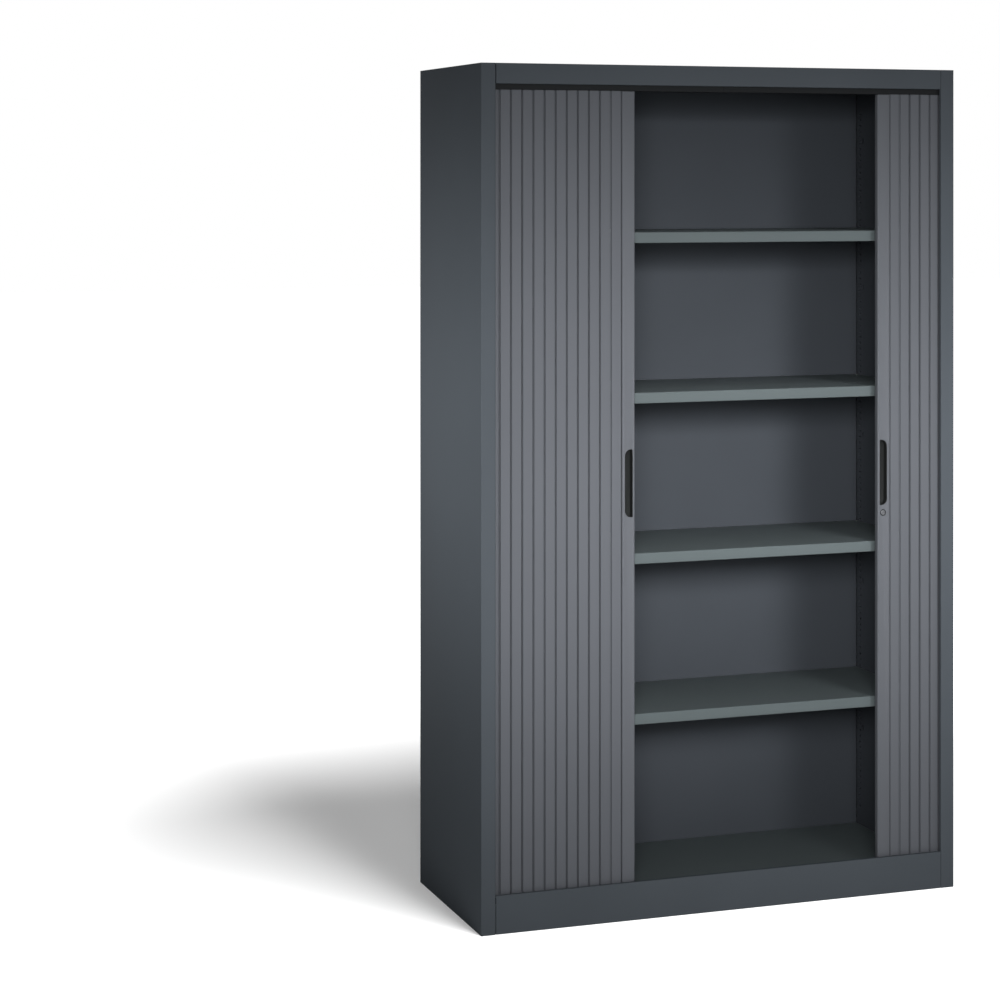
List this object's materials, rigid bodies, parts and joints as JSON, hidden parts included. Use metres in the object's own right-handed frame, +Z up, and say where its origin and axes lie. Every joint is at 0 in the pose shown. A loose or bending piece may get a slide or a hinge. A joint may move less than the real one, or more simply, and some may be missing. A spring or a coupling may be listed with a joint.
{
  "type": "tambour door cabinet",
  "caption": "Tall steel storage cabinet whose slatted curtain doors slide apart in curved tracks and wind away behind its side walls, with adjustable shelves inside.",
  "frame": {"origin": "on the floor under the centre of the cabinet's footprint", "axes": "+Z up along the cabinet's height, +X to the right seen from the front, +Y from the front towards the back"},
  "size_m": [1.2, 0.43, 1.95],
  "materials": {
    "body_paint": "fine matt powder coat, dark slate grey",
    "inner_paint": "powder coat, dark grey, inside surfaces",
    "clip_zinc": "zinc-plated steel",
    "foot_plastic": "black plastic",
    "track_plastic": "black plastic extrusion",
    "slat_plastic": "slate grey plastic, fine satin grain",
    "rail_paint": "slate grey satin paint on a drawn tube",
    "grip_plastic": "black moulded plastic",
    "shoe_plastic": "black plastic glide",
    "lock_steel": "nickel-plated lock cylinder",
    "lock_zinc": "zinc-plated steel"
  },
  "bodies": {
    "cabinet": {"left_side_panel": "body_paint", "right_side_panel": "body_paint", "top_rail": "body_paint", "plinth": "body_paint", "top_panel": "body_paint", "back_panel": "body_paint", "ceiling_panel": "inner_paint", "floor_panel": "inner_paint", "left_liner": "inner_paint", "right_liner": "inner_paint", "inner_back": "inner_paint", "shelf_1": "inner_paint", "shelf_2": "inner_paint", "shelf_3": "inner_paint", "shelf_4": "inner_paint", "shelf_1_clip_front_left": "clip_zinc", "shelf_1_clip_front_right": "clip_zinc", "shelf_1_clip_rear_left": "clip_zinc", "shelf_1_clip_rear_right": "clip_zinc", "shelf_2_clip_front_left": "clip_zinc", "shelf_2_clip_front_right": "clip_zinc", "shelf_2_clip_rear_left": "clip_zinc", "shelf_2_clip_rear_right": "clip_zinc", "shelf_3_clip_front_left": "clip_zinc", "shelf_3_clip_front_right": "clip_zinc", "shelf_3_clip_rear_left": "clip_zinc", "shelf_3_clip_rear_right": "clip_zinc", "shelf_4_clip_front_left": "clip_zinc", "shelf_4_clip_front_right": "clip_zinc", "shelf_4_clip_rear_left": "clip_zinc", "shelf_4_clip_rear_right": "clip_zinc", "levelling_foot_front_left": "foot_plastic", "levelling_foot_front_right": "foot_plastic", "levelling_foot_rear_left": "foot_plastic", "levelling_foot_rear_right": "foot_plastic", "lower_track_left": "track_plastic", "lower_track_right": "track_plastic", "upper_track_left": "track_plastic", "upper_track_right": "track_plastic"},
    "left_door": {"left_curtain": "slat_plastic", "left_leading_rail": "rail_paint", "left_grip": "grip_plastic", "left_lower_shoe": "shoe_plastic", "left_upper_shoe": "shoe_plastic", "lock_keeper": "lock_zinc"},
    "right_door": {"right_curtain": "slat_plastic", "right_leading_rail": "rail_paint", "right_grip": "grip_plastic", "right_lower_shoe": "shoe_plastic", "right_upper_shoe": "shoe_plastic"},
    "lock": {"lock_cylinder": "lock_steel", "lock_cam": "lock_zinc"}
  },
  "joints": [
    {"name": "left_door_slide", "type": "slide", "parent": "cabinet", "child": "left_door", "axis": [1, 0, 0], "range_m": [-0.2845, 0.223], "deforming": ["left_curtain"]},
    {"name": "right_door_slide", "type": "slide", "parent": "cabinet", "child": "right_door", "axis": [-1, 0, 0], "range_m": [-0.1074, 0.4001], "deforming": ["right_curtain"]},
    {"name": "lock_turn", "type": "hinge", "parent": "right_door", "child": "lock", "pos_m": [0.4146, -0.2062, 0.9005], "axis": [0, 1, 0], "range_deg": [0, 90]}
  ]
}
